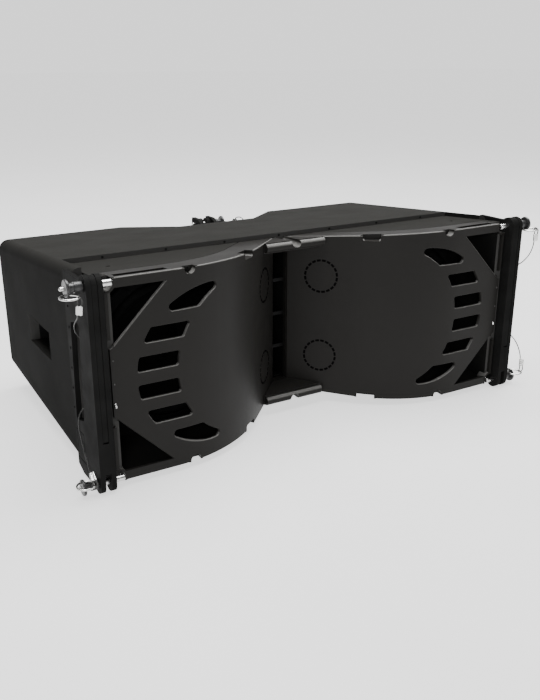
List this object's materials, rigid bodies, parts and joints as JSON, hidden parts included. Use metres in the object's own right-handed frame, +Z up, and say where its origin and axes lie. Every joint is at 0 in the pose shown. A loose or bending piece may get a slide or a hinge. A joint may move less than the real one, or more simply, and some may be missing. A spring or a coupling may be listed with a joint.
{
  "type": "line array speaker",
  "caption": "Wide tapered line array cabinet with slotted curved front covers, a central horn slot, side rigging plates, sliding links and quick-release pins on wire lanyards.",
  "frame": {"origin": "on the floor plane under the middle of the outline, the lanyards left out", "axes": "+X to the right seen from the front, +Y from the front covers to the rear, +Z up"},
  "size_m": [0.8374, 0.4729, 0.306],
  "materials": {
    "cabinet": "black textured coating",
    "moulding": "satin moulded",
    "board": "raw birch plywood",
    "rig_steel": "black powder coat",
    "bright_steel": "brushed stainless",
    "grip_black": "satin",
    "basket": "black cast",
    "cone": "pressed pulp cone",
    "surround": "doped roll",
    "cable": "coated wire rope",
    "electronics": "circuit board",
    "socket": "moulded connector",
    "horn_black": "dark satin"
  },
  "bodies": {
    "cabinet": {"cabinet_shell": "cabinet", "case_screws": "rig_steel", "baffle_boards": "cabinet", "brace_boards": "board", "front_cover_right": "moulding", "front_cover_left": "moulding", "centre_horn": "moulding", "hf_waveguide": "horn_black", "hf_drivers": "basket", "crossover_board": "electronics", "handle_cup_right": "horn_black", "handle_cup_left": "horn_black", "input_panel": "rig_steel", "input_sockets": "socket", "cable_studs": "rig_steel", "rear_bracket": "rig_steel", "lf_frame_left": "basket", "lf_magnet_left": "basket", "lf_surround_left": "surround", "mf_drivers_left": "basket", "side_plate_left": "rig_steel", "inner_plate_left": "rig_steel", "lf_frame_right": "basket", "lf_magnet_right": "basket", "lf_surround_right": "surround", "mf_drivers_right": "basket", "side_plate_right": "rig_steel", "inner_plate_right": "rig_steel"},
    "woofer_cone_left": {"lf_cone_left": "cone"},
    "midrange_cones_left": {"mf_cones_left": "cone"},
    "front_link_left": {"link_bar_left": "rig_steel"},
    "woofer_cone_right": {"lf_cone_right": "cone"},
    "midrange_cones_right": {"mf_cones_right": "cone"},
    "front_link_right": {"link_bar_right": "rig_steel"},
    "rear_link": {"rear_link": "rig_steel"},
    "release_pin_top_left": {"pin_top_left": "bright_steel", "pin_grip_top_left": "grip_black"},
    "release_button_top_left": {"pin_button_top_left": "bright_steel"},
    "pull_ring_top_left": {"pull_ring_top_left": "bright_steel", "lanyard_top_left": "cable"},
    "release_pin_top_right": {"pin_top_right": "bright_steel", "pin_grip_top_right": "grip_black"},
    "release_button_top_right": {"pin_button_top_right": "bright_steel"},
    "pull_ring_top_right": {"pull_ring_top_right": "bright_steel", "lanyard_top_right": "cable"},
    "release_pin_bottom_left": {"pin_bottom_left": "bright_steel", "pin_grip_bottom_left": "grip_black"},
    "release_button_bottom_left": {"pin_button_bottom_left": "bright_steel"},
    "pull_ring_bottom_left": {"pull_ring_bottom_left": "bright_steel", "lanyard_bottom_left": "cable"},
    "release_pin_bottom_right": {"pin_bottom_right": "bright_steel", "pin_grip_bottom_right": "grip_black"},
    "release_button_bottom_right": {"pin_button_bottom_right": "bright_steel"},
    "pull_ring_bottom_right": {"pull_ring_bottom_right": "bright_steel", "lanyard_bottom_right": "cable"},
    "release_pin_rear": {"pin_rear": "bright_steel", "pin_grip_rear": "grip_black"},
    "release_button_rear": {"pin_button_rear": "bright_steel"},
    "pull_ring_rear": {"pull_ring_rear": "bright_steel", "lanyard_rear": "cable"}
  },
  "joints": [
    {"name": "woofer_travel_left", "type": "slide", "parent": "cabinet", "child": "woofer_cone_left", "axis": [0, -1, 0], "range_m": [-0.004, 0.004], "stiffness_N_per_m": 2500, "deforming": ["lf_surround_left"]},
    {"name": "midrange_travel_left", "type": "slide", "parent": "cabinet", "child": "midrange_cones_left", "axis": [0.7071, -0.7071, 0], "range_m": [-0.0015, 0.0015], "stiffness_N_per_m": 3000},
    {"name": "front_link_slide_left", "type": "slide", "parent": "cabinet", "child": "front_link_left", "axis": [0, 0, 1], "range_m": [0, 0.029]},
    {"name": "woofer_travel_right", "type": "slide", "parent": "cabinet", "child": "woofer_cone_right", "axis": [0, -1, 0], "range_m": [-0.004, 0.004], "stiffness_N_per_m": 2500, "deforming": ["lf_surround_right"]},
    {"name": "midrange_travel_right", "type": "slide", "parent": "cabinet", "child": "midrange_cones_right", "axis": [-0.7071, -0.7071, 0], "range_m": [-0.0015, 0.0015], "stiffness_N_per_m": 3000},
    {"name": "front_link_slide_right", "type": "slide", "parent": "cabinet", "child": "front_link_right", "axis": [0, 0, 1], "range_m": [0, 0.029]},
    {"name": "rear_link_slide", "type": "slide", "parent": "cabinet", "child": "rear_link", "axis": [0, 0, 1], "range_m": [0, 0.029]},
    {"name": "pin_pull_top_left", "type": "slide", "parent": "cabinet", "child": "release_pin_top_left", "axis": [-1, 0, 0], "range_m": [0, 0.036], "deforming": ["lanyard_top_left"]},
    {"name": "button_press_top_left", "type": "slide", "parent": "release_pin_top_left", "child": "release_button_top_left", "axis": [1, 0, 0], "range_m": [0, 0.003], "stiffness_N_per_m": 800},
    {"name": "ring_swing_top_left", "type": "hinge", "parent": "release_pin_top_left", "child": "pull_ring_top_left", "pos_m": [-0.4025, -0.21105, 0.2834], "axis": [1, 0, 0], "range_deg": [-12, 30]},
    {"name": "pin_pull_top_right", "type": "slide", "parent": "cabinet", "child": "release_pin_top_right", "axis": [1, 0, 0], "range_m": [0, 0.036], "deforming": ["lanyard_top_right"]},
    {"name": "button_press_top_right", "type": "slide", "parent": "release_pin_top_right", "child": "release_button_top_right", "axis": [-1, 0, 0], "range_m": [0, 0.003], "stiffness_N_per_m": 800},
    {"name": "ring_swing_top_right", "type": "hinge", "parent": "release_pin_top_right", "child": "pull_ring_top_right", "pos_m": [0.4025, -0.21105, 0.2834], "axis": [1, 0, 0], "range_deg": [-12, 30]},
    {"name": "pin_pull_bottom_left", "type": "slide", "parent": "cabinet", "child": "release_pin_bottom_left", "axis": [-1, 0, 0], "range_m": [0, 0.036], "deforming": ["lanyard_bottom_left"]},
    {"name": "button_press_bottom_left", "type": "slide", "parent": "release_pin_bottom_left", "child": "release_button_bottom_left", "axis": [1, 0, 0], "range_m": [0, 0.003], "stiffness_N_per_m": 800},
    {"name": "ring_swing_bottom_left", "type": "hinge", "parent": "release_pin_bottom_left", "child": "pull_ring_bottom_left", "pos_m": [-0.4025, -0.21105, 0.0226], "axis": [1, 0, 0], "range_deg": [-30, 12]},
    {"name": "pin_pull_bottom_right", "type": "slide", "parent": "cabinet", "child": "release_pin_bottom_right", "axis": [1, 0, 0], "range_m": [0, 0.036], "deforming": ["lanyard_bottom_right"]},
    {"name": "button_press_bottom_right", "type": "slide", "parent": "release_pin_bottom_right", "child": "release_button_bottom_right", "axis": [-1, 0, 0], "range_m": [0, 0.003], "stiffness_N_per_m": 800},
    {"name": "ring_swing_bottom_right", "type": "hinge", "parent": "release_pin_bottom_right", "child": "pull_ring_bottom_right", "pos_m": [0.4025, -0.21105, 0.0226], "axis": [1, 0, 0], "range_deg": [-30, 12]},
    {"name": "pin_pull_rear", "type": "slide", "parent": "cabinet", "child": "release_pin_rear", "axis": [1, 0, 0], "range_m": [0, 0.044], "deforming": ["lanyard_rear"]},
    {"name": "button_press_rear", "type": "slide", "parent": "release_pin_rear", "child": "release_button_rear", "axis": [-1, 0, 0], "range_m": [0, 0.003], "stiffness_N_per_m": 800},
    {"name": "ring_swing_rear", "type": "hinge", "parent": "release_pin_rear", "child": "pull_ring_rear", "pos_m": [0.0385, 0.21395, 0.2524], "axis": [1, 0, 0], "range_deg": [-12, 30]}
  ]
}
